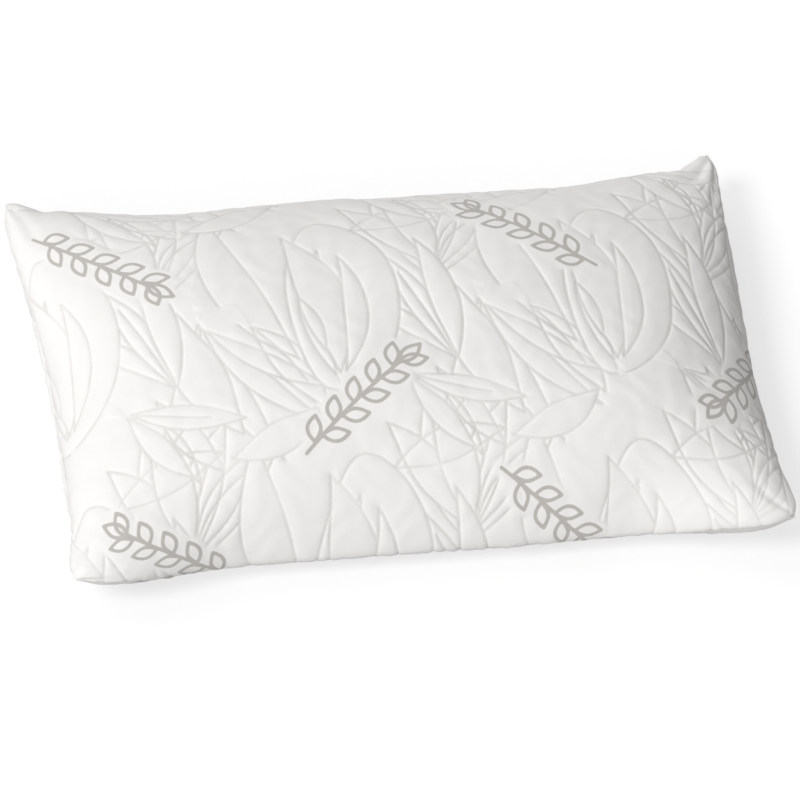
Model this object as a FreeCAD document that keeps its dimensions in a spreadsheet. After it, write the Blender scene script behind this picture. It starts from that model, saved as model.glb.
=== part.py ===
"""Bed pillow: quilted two-panel cover, inner liner, moulded foam core, and the zip in its back seam.

Frame: +X along the long side, +Y from the front to the back where the zip is, +Z up.
The origin is on the surface that the pillow lies on, below the middle of the pillow.
"""
import FreeCAD, Part
import math
import os

import Sketcher
from FreeCAD import Placement, Rotation, Vector

doc = FreeCAD.newDocument("bed_pillow")

# ---------------------------------------------------------------- driving dimensions, millimetres
SIZES = [
    ("pillow_length", 700, "ear tip to ear tip along X"),
    ("pillow_width", 450, "ear tip to ear tip along Y"),
    ("pillow_height", 130, "crown above the surface it lies on"),
    ("seam_height", 40, "perimeter seam above the surface, at the back where the zip is"),
    ("front_seam_height", 16, "perimeter seam above the surface, at the front"),
    ("ear_height", 60, "perimeter seam above the surface, at the ear tips"),
    ("long_side_pull", 22, "how far the long sides pull in between the ears"),
    ("short_side_pull", 10, "how far the short sides pull in between the ears"),
    ("long_straight", 0.7, "share of a long side that is straight"),
    ("short_straight", 0.1, "share of a short side that is straight"),
    ("crown_long", 3.2, "how flat the crown stays along X, as the power of an ellipse"),
    ("crown_short", 2.3, "how flat the crown stays along Y, as the power of an ellipse"),
    ("cover_wall", 3, "thickness of the quilted knit"),
    ("rest_trim", 0.5, "depth of the flat face pressed into the underside"),
    ("overlock_inset", 3.8, "cover rim to the overlocked seam edge"),
    ("overlock_width", 6, "width of the overlocked seam allowance"),
    ("overlock_thick", 1.4, "two plies of knit and the overlock thread"),
    ("liner_inset", 11, "cover rim to liner rim"),
    ("liner_gap", 1, "cover lining to liner"),
    ("liner_wall", 1, "thickness of the liner knit"),
    ("core_length", 606, "foam core along X"),
    ("core_width", 360, "foam core along Y"),
    ("core_top", 121, "top of the foam core"),
    ("core_base", 6, "underside of the foam core"),
    ("core_corner", 120, "plan radius of the foam core's corners"),
    ("slot_length", 488, "opening in the back seam that the zip closes"),
    ("slot_half", 5.5, "half the height of that opening"),
    ("slot_depth", 9, "depth of the cut that makes the opening"),
    ("tape_length", 480, "zip tape"),
    ("tape_width", 8, "one zip tape, from the coil to its sewn edge"),
    ("tape_thick", 0.6, "zip tape"),
    ("tape_inset", 5.3, "cover rim to the inside face of the zip tape"),
    ("coil_length", 456, "one row of the zip coil"),
    ("coil_width", 2.5, "one row of the zip coil, across the zip"),
    ("coil_thick", 2.2, "one row of the zip coil, out from the tape"),
    ("coil_gap", 0.6, "middle of the zip to the edge of a coil row"),
    ("stop_length", 3, "zip end stops"),
    ("stop_gap", 1, "coil end to stop"),
    ("slider_length", 12, "zip slider"),
    ("slider_mouth", 9.6, "zip slider's width at its mouth"),
    ("slider_tail", 8.6, "zip slider's width at its tail"),
    ("slider_plate", 1.3, "zip slider's outer plate"),
    ("slider_backing", 1.2, "zip slider's inner plate"),
    ("slider_gap", 0.3, "running clearance between slider and zip"),
    ("slider_flange", 1, "zip slider's side flanges"),
    ("slider_tape_gap", 0.4, "flange to tape"),
    ("post_length", 2.6, "zip slider's post between its plates"),
    ("post_width", 0.6, "zip slider's post between its plates"),
    ("slider_park", 218, "slider's place when the zip is closed"),
    ("bail_length", 7, "loop on the slider that holds the pull tab"),
    ("bail_width", 1.6, "the same, across the zip"),
    ("bail_wall", 1.2, "the same, thickness of the loop"),
    ("bail_room", 2, "the same, height of the hole"),
    ("tab_length", 24, "pull tab, from its pivot to its tip"),
    ("tab_width", 5.2, "pull tab"),
    ("tab_thick", 1.2, "pull tab"),
    ("tab_bar", 0.6, "half the thickness of the pull tab's pivot bar"),
    ("tab_window", 4.6, "far edge of the pull tab's window from the pivot"),
    ("tab_arm_gap", 1.1, "half the width of the pull tab's window"),
    ("stitch_pitch", 4, "lockstitch along the zip"),
    ("stitch_length", 2.8, "one stitch"),
    ("stitch_width", 0.7, "thread"),
    ("stitch_lift", 0.5, "thread above the knit"),
    ("stitch_row", 2.5, "slot edge to the row of stitches"),
    ("stitch_sink", 0.28, "rim to the underside of the stitches"),
    ("label_width", 30, "care label"),
    ("label_drop", 24, "care label, from the seam down"),
    ("label_thick", 0.6, "care label, folded double"),
    ("label_place", 30, "care label's middle along the right side"),
    ("label_gap", 0.6, "cover rim to care label"),
    ("label_tuck", 1, "seam to the top of the care label"),
]

sheet = doc.addObject("Spreadsheet::Sheet", "Sizes")
for row, (alias, value, meaning) in enumerate(SIZES, start=1):
    sheet.set("A%d" % row, alias)
    sheet.set("B%d" % row, str(value))
    sheet.set("C%d" % row, meaning)
    sheet.setAlias("B%d" % row, alias)
doc.recompute()


def size(alias):
    """One driving dimension, read from the spreadsheet."""
    return float(getattr(sheet, alias))


# ---------------------------------------------------------------- soft panels
GRID = 33  # points along each side of a panel's surface
UNDERSIDE_POWER = 3  # how quickly the underside flattens out from the seam
SIDES = ("front", "back", "left", "right")


def ease(t):
    """Smooth step from 0 to 1."""
    t = min(max(t, 0.0), 1.0)
    return t * t * (3 - 2 * t)


def straightness(share, straight):
    """1 along the straight middle of a side, falling to 0 at its ends."""
    return 1 - ease((abs(share) - straight) / (1 - straight))


def plan_point(u, v, inset):
    """Plan position for u and v from -1 to 1, on an outline `inset` inside the cover's rim."""
    along = straightness(u, size("long_straight"))
    across = straightness(v, size("short_straight"))
    x = (size("pillow_length") / 2 - inset) * u - size("short_side_pull") * across * u ** 3
    y = (size("pillow_width") / 2 - inset) * v - size("long_side_pull") * along * v ** 3
    return x, y


def seam_level(u, v):
    """Height of the perimeter seam, which climbs from front to back and towards the ears."""
    along = straightness(u, size("long_straight"))
    across = straightness(v, size("short_straight"))
    front, back = size("front_seam_height"), size("seam_height")
    side = front + (back - front) * (v + 1) / 2
    return side + (size("ear_height") - side) * (1 - along) * (1 - across)


def swell(u, v):
    """0 at the rim and 1 at the middle, a flattened ellipse in both directions."""
    along = math.sqrt(max(0.0, 1 - abs(u) ** size("crown_long")))
    across = math.sqrt(max(0.0, 1 - abs(v) ** size("crown_short")))
    return along * across


def upper_level(u, v, top):
    """Height of a domed surface whose middle is at `top`."""
    seam = seam_level(u, v)
    return seam + (top - seam) * swell(u, v)


def lower_level(u, v, base):
    """Height of an underside that flattens out at `base`."""
    return base + (seam_level(u, v) - base) * (1 - swell(u, v)) ** UNDERSIDE_POWER


def crowned_surface(inset, level, reach):
    """Interpolated surface over the plan outline; `level` gives its height."""
    turns = [math.pi * (i / (GRID - 1) - 0.5) for i in range(GRID)]
    rows = []
    for a in turns:
        row = []
        for b in turns:
            u, v = math.sin(a), math.sin(b)
            x, y = plan_point(u, v, inset)
            row.append(Vector(x, y, level(u, v, reach)))
        rows.append(row)
    surface = Part.BSplineSurface()
    surface.interpolate(rows)
    return surface


def rim_edges(surface):
    """The four boundary edges of a crowned surface, by side."""
    u0, u1, v0, v1 = surface.bounds()
    curves = (surface.vIso(v0), surface.vIso(v1), surface.uIso(u0), surface.uIso(u1))
    return dict(zip(SIDES, [curve.toShape() for curve in curves]))


def closed_solid(faces):
    """One solid from faces that meet along their edges."""
    skin = Part.makeCompound(faces)
    skin.sewShape(0.001)
    solid = Part.makeSolid(skin.Shells[0])
    if solid.Volume < 0:
        solid.reverse()
    return solid


def panel(level, outer_reach, inner_reach, inset, wall):
    """A domed panel of even thickness, closed by a narrow strip along the seam."""
    outer = crowned_surface(inset, level, outer_reach)
    inner = crowned_surface(inset + wall, level, inner_reach)
    outer_rim, inner_rim = rim_edges(outer), rim_edges(inner)
    strips = [Part.makeRuledSurface(outer_rim[side], inner_rim[side]) for side in SIDES]
    return closed_solid([outer.toShape(), inner.toShape()] + strips)


def rim_curves(inset, lift):
    """The outline `inset` inside the rim, raised by `lift`, as one edge per side."""
    sweep = [math.sin(math.pi * (i / (GRID - 1) - 0.5)) for i in range(GRID)]
    ends = {"front": -1, "back": 1, "left": -1, "right": 1}
    edges = {}
    for side in SIDES:
        points = []
        for t in sweep:
            u, v = (t, ends[side]) if side in ("front", "back") else (ends[side], t)
            x, y = plan_point(u, v, inset)
            points.append(Vector(x, y, seam_level(u, v) + lift))
        curve = Part.BSplineCurve()
        curve.interpolate(points)
        edges[side] = curve.toShape()
    return edges


def seam_ring(inset, width, thick):
    """Flat band that follows the perimeter seam inside the cover."""
    rings = [
        rim_curves(inset, thick / 2),
        rim_curves(inset + width, thick / 2),
        rim_curves(inset + width, -thick / 2),
        rim_curves(inset, -thick / 2),
    ]
    faces = []
    for first, second in zip(rings, rings[1:] + rings[:1]):
        faces += [Part.makeRuledSurface(first[side], second[side]) for side in SIDES]
    return closed_solid(faces)


def rim_y():
    """Back rim along the straight stretch where the zip is."""
    return size("pillow_width") / 2 - size("long_side_pull")


def zip_slot():
    """The cut through the back seam that the zip closes."""
    depth = size("slot_depth")
    length, half = size("slot_length"), size("slot_half")
    corner = Vector(-length / 2, rim_y() - depth, size("seam_height") - half)
    return Part.makeBox(length, 2 * depth, 2 * half, corner)


def below_surface():
    """Everything under the surface that the pillow lies on."""
    length, width = size("pillow_length"), size("pillow_width")
    return Part.makeBox(length, width, width, Vector(-length / 2, -width / 2, -width))


def add_shape(label, shape):
    """A named sub-part whose shape is worked out above."""
    feature = doc.addObject("Part::Feature", label)
    feature.Shape = shape
    feature.Placement = Placement(Vector(0, 0, 0), Rotation())
    feature.Label = label
    return feature


def cover_parts():
    """Two quilted panels, and the overlocked seam allowance turned inside them."""
    wall, trim, height = size("cover_wall"), size("rest_trim"), size("pillow_height")
    top = panel(upper_level, height, height - wall, 0, wall)
    bottom = panel(lower_level, -trim, wall, 0, wall)
    ring = seam_ring(size("overlock_inset"), size("overlock_width"), size("overlock_thick"))
    return [
        add_shape("cover_top_panel", top.cut(zip_slot())),
        add_shape("cover_bottom_panel", bottom.cut(zip_slot()).cut(below_surface())),
        add_shape("cover_seam_overlock", ring.cut(zip_slot())),
    ]


def liner_parts():
    """The sewn-shut stretch liner, as its two panels."""
    inset, wall = size("liner_inset"), size("liner_wall")
    roof = size("pillow_height") - size("cover_wall") - size("liner_gap")
    floor = size("cover_wall") + size("liner_gap")
    return [
        add_shape("liner_top_panel", panel(upper_level, roof, roof - wall, inset, wall)),
        add_shape("liner_bottom_panel", panel(lower_level, floor, floor + wall, inset, wall)),
    ]


# ---------------------------------------------------------------- sketched bodies
def new_body(label):
    body = doc.addObject("PartDesign::Body", label)
    body.Label = label
    return body


def new_sketch(body, name, role, offset="0 mm"):
    """A sketch on one of the body's own origin planes, moved along its normal by `offset`."""
    planes = [f for f in body.Origin.OriginFeatures if f.Role == role]
    sketch = body.newObject("Sketcher::SketchObject", name)
    sketch.AttachmentSupport = (planes[0], [""])
    sketch.MapMode = "FlatFace"
    sketch.setExpression("AttachmentOffset.Base.z", offset)
    return sketch


def outline(sketch, corners):
    """A closed outline whose corners are bound to the spreadsheet, one expression for each place."""
    first, count = sketch.GeometryCount, len(corners)
    places = [[float(sheet.evalExpression(word)) for word in corner] for corner in corners]
    for i in range(count):
        start, end = places[i], places[(i + 1) % count]
        sketch.addGeometry(Part.LineSegment(Vector(*start, 0), Vector(*end, 0)))
    for i, corner in enumerate(corners):
        line, following = first + i, first + (i + 1) % count
        sketch.addConstraint(Sketcher.Constraint("Coincident", line, 2, following, 1))
        for kind, place, word in zip(("DistanceX", "DistanceY"), places[i], corner):
            index = sketch.addConstraint(Sketcher.Constraint(kind, -1, 1, line, 1, place))
            name = "%s_%d" % (kind.lower(), line)
            sketch.renameConstraint(index, name)
            sketch.setExpression("Constraints." + name, word)


def box_corners(x0, x1, y0, y1):
    """Corners of a rectangle between four expressions."""
    return [(x0, y0), (x1, y0), (x1, y1), (x0, y1)]


def pad(body, name, sketch, length, reverse=False, middle=False):
    """Pad a sketch by an expression, along its normal, against it, or half to each side."""
    feature = body.newObject("PartDesign::Pad", name)
    feature.Profile = sketch
    feature.Reversed = reverse
    feature.Midplane = middle
    feature.setExpression("Length", length)
    sketch.Visibility = False
    return feature


def place(body, x, y, z):
    """Bind the body's place to the spreadsheet."""
    for axis, word in zip("xyz", (x, y, z)):
        body.setExpression("Placement.Base." + axis, word)


RIM = "Sizes.pillow_width / 2 - Sizes.long_side_pull"
TAPE_FACE = RIM + " - Sizes.tape_inset"
SEAM = "Sizes.seam_height"


COIL_ROUNDING = 0.35  # radius of a coil row's outer edges, as a share of its width


def long_strip(label, length, z0, z1, y0, y1, rounded=False):
    """A straight strip along the zip; heights count from the seam, depths from the tape's back."""
    body = new_body(label)
    sketch = new_sketch(body, label + "_section", "YZ_Plane")
    outline(sketch, box_corners(y0, y1, z0, z1))
    strip = pad(body, label + "_run", sketch, length, middle=True)
    if rounded:
        doc.recompute()
        far = max(vertex.Y for vertex in strip.Shape.Vertexes)
        names = []
        for number, edge in enumerate(strip.Shape.Edges, start=1):
            ends = [vertex.Y for vertex in edge.Vertexes]
            if min(ends) > far - 0.01 and edge.Length > size("coil_length") / 2:
                names.append("Edge%d" % number)
        bevel = body.newObject("PartDesign::Fillet", label + "_round")
        bevel.Base = (strip, names)
        bevel.setExpression("Radius", "Sizes.coil_width * %s" % COIL_ROUNDING)
    place(body, "0 mm", TAPE_FACE, SEAM)
    return body


def zip_rows():
    """Two tapes and two coil rows, each side of the middle of the zip."""
    tape_edge = "(Sizes.coil_gap + Sizes.tape_width)"
    coil_edge = "(Sizes.coil_gap + Sizes.coil_width)"
    coil_front = "Sizes.tape_thick + Sizes.coil_thick"
    rows = []
    for name, sign in (("upper", ""), ("lower", "-")):
        tape = [sign + "Sizes.coil_gap", sign + tape_edge]
        coil = [sign + "Sizes.coil_gap", sign + coil_edge]
        rows.append(long_strip("zip_tape_" + name, "Sizes.tape_length", *tape, "0", "Sizes.tape_thick"))
        rows.append(
            long_strip("zip_coil_" + name, "Sizes.coil_length", *coil, "Sizes.tape_thick", coil_front, True)
        )
    return rows


def end_stops():
    """A crimped stop on each coil row at the closed end, and one across both at the open end."""
    near = "Sizes.coil_length / 2 + Sizes.stop_gap"
    blocks = []
    for name, x, z, height in (
        ("stop_above", near, "Sizes.coil_gap", "Sizes.coil_width"),
        ("stop_below", near, "-Sizes.coil_gap - Sizes.coil_width", "Sizes.coil_width"),
        (
            "zip_bottom_stop",
            "-Sizes.coil_length / 2 - Sizes.stop_gap - Sizes.stop_length",
            "-Sizes.coil_gap - Sizes.coil_width",
            "2 * (Sizes.coil_gap + Sizes.coil_width)",
        ),
    ):
        block = doc.addObject("Part::Box", name)
        block.Label = name
        block.setExpression("Length", "Sizes.stop_length")
        block.setExpression("Width", "Sizes.coil_thick")
        block.setExpression("Height", height)
        place(block, x, TAPE_FACE + " + Sizes.tape_thick", SEAM + " + " + z)
        blocks.append(block)
    pair = doc.addObject("Part::Compound", "zip_top_stops")
    pair.Label = "zip_top_stops"
    pair.Links = blocks[:2]
    return [pair, blocks[2]]


def slider_body():
    """Zip slider: outer plate with flanges and a loop, a post between the rows, and an inner plate."""
    body = new_body("zip_slider_body")
    half = "Sizes.slider_length / 2"
    wide, narrow = "Sizes.slider_mouth / 2", "Sizes.slider_tail / 2"
    plate = [("-" + half, "-" + narrow), (half, "-" + wide), (half, wide), ("-" + half, narrow)]
    tape_out = "Sizes.tape_thick + Sizes.coil_thick + Sizes.slider_gap"

    outer = new_sketch(body, "slider_outer_outline", "XZ_Plane", "-(%s)" % tape_out)
    outline(outer, plate)
    pad(body, "slider_outer_plate", outer, "Sizes.slider_plate", reverse=True)

    rails = new_sketch(body, "slider_flange_outline", "XZ_Plane", "-(%s)" % tape_out)
    for sign in ("-", ""):
        inside = sign + "(Sizes.slider_tail / 2 - Sizes.slider_flange)"
        outline(rails, box_corners("-" + half, half, inside, sign + narrow))
    flange_drop = "Sizes.coil_thick + Sizes.slider_gap - Sizes.slider_tape_gap"
    pad(body, "slider_flanges", rails, flange_drop)

    post = new_sketch(body, "slider_post_outline", "XZ_Plane", "-(%s)" % tape_out)
    post_half = "Sizes.post_width / 2"
    mouth = half + " - Sizes.slider_plate"
    outline(post, box_corners(mouth + " - Sizes.post_length", mouth, "-" + post_half, post_half))
    pad(body, "slider_post", post, tape_out + " + Sizes.slider_gap")

    inner = new_sketch(body, "slider_inner_outline", "XZ_Plane", "Sizes.slider_gap")
    outline(inner, plate)
    pad(body, "slider_inner_plate", inner, "Sizes.slider_backing")

    loop = new_sketch(body, "slider_loop_outline", "XY_Plane")
    face = tape_out + " + Sizes.slider_plate"
    outside = "Sizes.bail_length / 2"
    inside = "(Sizes.bail_length / 2 - Sizes.bail_wall)"
    crown = face + " + Sizes.bail_room"
    outline(loop, box_corners("-" + outside, outside, tape_out, crown + " + Sizes.bail_wall"))
    outline(loop, box_corners("-" + inside, inside, face, crown))
    pad(body, "slider_loop", loop, "Sizes.bail_width", middle=True)
    place(body, "Sizes.slider_park", TAPE_FACE, SEAM)
    return body


def pull_tab():
    """Pull tab with a window; the bar beside the window runs through the slider's loop."""
    body = new_body("zip_pull_tab")
    sketch = new_sketch(body, "tab_outline", "XZ_Plane")
    half, gap = "Sizes.tab_width / 2", "Sizes.tab_arm_gap"
    shoulder, tip = "-Sizes.tab_length + Sizes.tab_width / 4", "-Sizes.tab_length"
    outline(
        sketch,
        [
            (tip, "-Sizes.tab_width / 4"),
            (shoulder, "-" + half),
            ("Sizes.tab_bar", "-" + half),
            ("Sizes.tab_bar", half),
            (shoulder, half),
            (tip, "Sizes.tab_width / 4"),
        ],
    )
    outline(sketch, box_corners("-Sizes.tab_window", "-Sizes.tab_bar", "-" + gap, gap))
    pad(body, "tab_plate", sketch, "Sizes.tab_thick", middle=True)
    stack = "Sizes.tape_thick + Sizes.coil_thick + Sizes.slider_gap + Sizes.slider_plate"
    place(body, "Sizes.slider_park", TAPE_FACE + " + " + stack + " + Sizes.bail_room / 2", SEAM)
    return body


def stitch_row(name, sign):
    """A row of lockstitches that holds one panel's folded edge to its zip tape."""
    body = new_body("zip_stitching_" + name)
    body.AllowCompound = True
    sketch = new_sketch(body, "stitch_%s_outline" % name, "XZ_Plane")
    start = "-Sizes.coil_length / 2"
    half = "Sizes.stitch_width / 2"
    outline(sketch, box_corners(start, start + " + Sizes.stitch_length", "-" + half, half))
    stitch = pad(body, "stitch_%s" % name, sketch, "Sizes.stitch_lift", reverse=True)
    doc.recompute()
    row_of = body.newObject("PartDesign::LinearPattern", "stitch_%s_row" % name)
    row_of.Originals = [stitch]
    row_of.Direction = ([f for f in body.Origin.OriginFeatures if f.Role == "X_Axis"][0], [""])
    row_of.setExpression("Length", "Sizes.coil_length - Sizes.stitch_pitch")
    row_of.setExpression("Occurrences", "round(Sizes.coil_length / Sizes.stitch_pitch)")
    body.Tip = row_of
    rise = "%s + %s(Sizes.slot_half + Sizes.stitch_row)" % (SEAM, sign)
    place(body, "0 mm", RIM + " - Sizes.stitch_sink", rise)
    return body


CORE_END = 0.97  # the core's outermost sections, as shares of a full dome's height
CORE_SHARES = (-CORE_END, -0.86, -0.62, -0.3, 0, 0.3, 0.55, 0.75, 0.9, CORE_END)
CORE_ROUND = {"above": 0.5, "below": 0.3}  # how round the core's sides are, 0.5 for a plain ellipse


def foam_core():
    """Moulded pebble of foam: rounded rectangles, largest at the seam, lofted from base to top."""
    body = new_body("foam_core")
    sections = []
    for number, share in enumerate(CORE_SHARES):
        reach = "(Sizes.core_top - Sizes.seam_height)"
        if share < 0:
            reach = "(Sizes.seam_height - Sizes.core_base)"
        level = "Sizes.seam_height + %s * %s / %s" % (share, reach, CORE_END)
        spread = round((1 - share * share) ** CORE_ROUND["above" if share > 0 else "below"], 4)
        sketch = new_sketch(body, "core_section_%d" % number, "XY_Plane", level)
        rounded_rectangle(
            sketch,
            "Sizes.core_length / 2 * %s" % spread,
            "Sizes.core_width / 2 * %s" % spread,
            "Sizes.core_corner * %s" % spread,
        )
        sections.append(sketch)
    loft = body.newObject("PartDesign::AdditiveLoft", "core_loft")
    loft.Profile = sections[0]
    loft.Sections = sections[1:]
    loft.Ruled = True
    for sketch in sections:
        sketch.Visibility = False
    return body


def rounded_rectangle(sketch, half_length, half_width, corner):
    """Rounded rectangle about the sketch's origin, bound by three expressions."""
    hl, hw, r = [float(sheet.evalExpression(word)) for word in (half_length, half_width, corner)]
    cx, cy = hl - r, hw - r
    up = Vector(0, 0, 1)
    quarter = math.pi / 2
    for line, arc_centre, turn in (
        ((-cx, -hw, cx, -hw), (cx, -cy), 3),
        ((hl, -cy, hl, cy), (cx, cy), 0),
        ((cx, hw, -cx, hw), (-cx, cy), 1),
        ((-hl, cy, -hl, -cy), (-cx, -cy), 2),
    ):
        sketch.addGeometry(Part.LineSegment(Vector(*line[:2], 0), Vector(*line[2:], 0)))
        circle = Part.Circle(Vector(*arc_centre, 0), up, r)
        sketch.addGeometry(Part.ArcOfCircle(circle, turn * quarter, (turn + 1) * quarter))
    for line in (0, 2, 4, 6):
        sketch.addConstraint(Sketcher.Constraint("Tangent", line, 2, line + 1, 1))
        sketch.addConstraint(Sketcher.Constraint("Tangent", line + 1, 2, (line + 2) % 8, 1))
    for line, flat in ((0, "Horizontal"), (2, "Vertical"), (4, "Horizontal"), (6, "Vertical")):
        sketch.addConstraint(Sketcher.Constraint(flat, line))
    for arc in (3, 5, 7):
        sketch.addConstraint(Sketcher.Constraint("Equal", 1, arc))
    for name, kind, line, value, word in (
        ("front", "DistanceY", 0, -hw, "-(%s)" % half_width),
        ("right", "DistanceX", 2, hl, half_length),
        ("back", "DistanceY", 4, hw, half_width),
        ("left", "DistanceX", 6, -hl, "-(%s)" % half_length),
    ):
        index = sketch.addConstraint(Sketcher.Constraint(kind, -1, 1, line, 1, value))
        sketch.renameConstraint(index, name)
        sketch.setExpression("Constraints." + name, word)
    index = sketch.addConstraint(Sketcher.Constraint("Radius", 1, r))
    sketch.renameConstraint(index, "corner")
    sketch.setExpression("Constraints.corner", corner)


def care_label():
    """Blank folded label that hangs from the seam at the right side."""
    body = new_body("care_label")
    sketch = new_sketch(body, "label_outline", "YZ_Plane")
    half = "Sizes.label_width / 2"
    outline(sketch, box_corners("-" + half, half, "-Sizes.label_drop", "0"))
    pad(body, "label_cloth", sketch, "Sizes.label_thick")
    side = "Sizes.pillow_length / 2 - Sizes.short_side_pull + Sizes.label_gap"
    climb = "(Sizes.seam_height - Sizes.front_seam_height)"
    seam = "Sizes.front_seam_height + %s * (0.5 + Sizes.label_place / Sizes.pillow_width)" % climb
    place(body, side, "Sizes.label_place", seam + " - Sizes.label_tuck")
    return body


# ---------------------------------------------------------------- build, test and write
parts = cover_parts() + liner_parts()
parts += zip_rows() + end_stops()
parts += [slider_body(), pull_tab(), stitch_row("upper", ""), stitch_row("lower", "-")]
parts += [foam_core(), care_label()]
doc.recompute()

for item in doc.Objects:
    if "Invalid" in item.State or "Error" in item.State:
        raise RuntimeError("%s failed: %s" % (item.Label, item.State))
for part in parts:
    if part.Shape.isNull() or not part.Shape.isValid() or part.Shape.Volume <= 0:
        raise RuntimeError("%s has no valid shape" % part.Label)

os.makedirs("parts", exist_ok=True)
for part in parts:
    part.Shape.exportStep("parts/%s.step" % part.Label)
    box = part.Shape.BoundBox
    print("%-22s solids %3d volume %12.1f" % (part.Label, len(part.Shape.Solids), part.Shape.Volume), box)
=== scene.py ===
import math
from collections import namedtuple

import bpy
import numpy as np
from mathutils import Matrix, Vector, kdtree


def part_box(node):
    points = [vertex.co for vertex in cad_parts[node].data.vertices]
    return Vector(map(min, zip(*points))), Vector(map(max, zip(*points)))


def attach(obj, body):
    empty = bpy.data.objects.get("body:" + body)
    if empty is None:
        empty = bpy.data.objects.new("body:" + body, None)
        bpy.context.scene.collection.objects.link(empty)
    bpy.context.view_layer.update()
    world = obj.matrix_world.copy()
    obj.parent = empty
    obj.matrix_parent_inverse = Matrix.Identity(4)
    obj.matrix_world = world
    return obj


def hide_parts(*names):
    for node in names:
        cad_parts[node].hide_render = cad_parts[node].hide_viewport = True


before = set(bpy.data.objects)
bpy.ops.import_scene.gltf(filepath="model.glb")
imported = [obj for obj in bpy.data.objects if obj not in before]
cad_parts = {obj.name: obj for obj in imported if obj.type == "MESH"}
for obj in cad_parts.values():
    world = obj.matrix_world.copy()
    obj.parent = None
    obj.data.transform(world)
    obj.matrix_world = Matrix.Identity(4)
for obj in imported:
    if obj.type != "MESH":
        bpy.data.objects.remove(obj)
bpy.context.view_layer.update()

# A quilted knit pillow. Lengths are in millimetres until a mesh is made. +X is the pillow's right, +Y its
# back with the zip, and +Z up. A place on a cover panel is either a pair of shares u and v, from -1 to 1
# along and across, or a pair of distances s and t along the cloth from the panel's middle.
MM = 0.001
random = np.random.default_rng(7)


def node_box(name):
    """A CAD node's lowest and highest corners, in millimetres."""
    return [np.array(corner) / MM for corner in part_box(name)]


# ---------------------------------------------------------------- the pillow's sizes
HALF_LENGTH, HALF_WIDTH, CROWN = node_box("cover_top_panel")[1]
ZIP_LEVEL = (node_box("zip_tape_upper")[0][2] + node_box("zip_tape_lower")[1][2]) / 2
SEAM_TILT = 12.0  # how far the seam comes down over half the width, from the zip at the back
SEAM_LEVEL = ZIP_LEVEL - SEAM_TILT
# a corner is its side along X and its side along Y, so (1, -1) is the front right one
EAR_LEVEL = {(-1, -1): 41.0, (1, -1): 51.0, (-1, 1): 48.0, (1, 1): 49.0}
SIDE_PULL = {"front": 32.0, "back": 22.0}  # how far the middle of a long side is drawn in
END_PULL = {"left": 8.3, "right": 3.6}  # how far the middle of an end is drawn in
LONG_STRAIGHT, SHORT_STRAIGHT = 0.52, 0.1  # shares of a side that stay straight
CROWN_LONG, CROWN_SHORT = 3.2, 2.3  # how flat the crown stays along and across
UNDERSIDE = 2.4  # how quickly the underside comes down to the bed
# the cover bulges out above and below its seam; a hump swell * (1 - swell) ** 2 is 4 / 27 high
BACK_BULGE, END_BULGE, LOWER_BULGE = 6.0, 6.3, 0.6
HUMP_TO_ONE = 27 / 4
# it rolls out over the front seam, less so towards the ears, and is tucked in at the seam itself
FRONT_ROLL, ROLL_START, ROLL_FADE = 18.0, 0.06, 0.8
SEAM_TUCK, TUCK_REACH = 3.0, 0.04
# how far each ear goes out beyond its square corner, along and across, and how far in it starts
EARS = {(-1, -1): (14.0, -2.0), (1, -1): (9.5, -3.0), (-1, 1): (6.0, 23.5), (1, 1): (6.5, 25.0)}
EAR_REACH = (42.0, 91.0)
TIP_REACH, TIP_ROUNDING = 30.0, 5.0
LEAN = 5.6  # the back corners stand a little wider apart than the front ones


def ease(share):
    """0 below 0, 1 above 1 and a smooth step between."""
    share = np.clip(share, 0.0, 1.0)
    return share * share * (3 - 2 * share)


def straightness(share, straight):
    """1 over the straight middle of a side, down to 0 at its ends."""
    return 1 - ease((np.abs(share) - straight) / (1 - straight))


def swell_of(u, v):
    """How full the pillow is, from 0 at the seam to 1 in the middle."""
    along = np.sqrt(np.maximum(0.0, 1 - np.abs(u) ** CROWN_LONG))
    across = np.sqrt(np.maximum(0.0, 1 - np.abs(v) ** CROWN_SHORT))
    return along * across


def by_side(sizes, v):
    return np.where(v > 0, sizes["back"], sizes["front"])


def seam_level(v):
    return SEAM_LEVEL + SEAM_TILT * v


def by_corner(sizes, u, v):
    """The size of the corner that each place is nearest to."""
    right, back = np.broadcast_arrays(u > 0, v > 0)
    picked = np.zeros(right.shape)
    for (side_x, side_y), size in sizes.items():
        picked[(right == (side_x > 0)) & (back == (side_y > 0))] = size
    return picked


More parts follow.
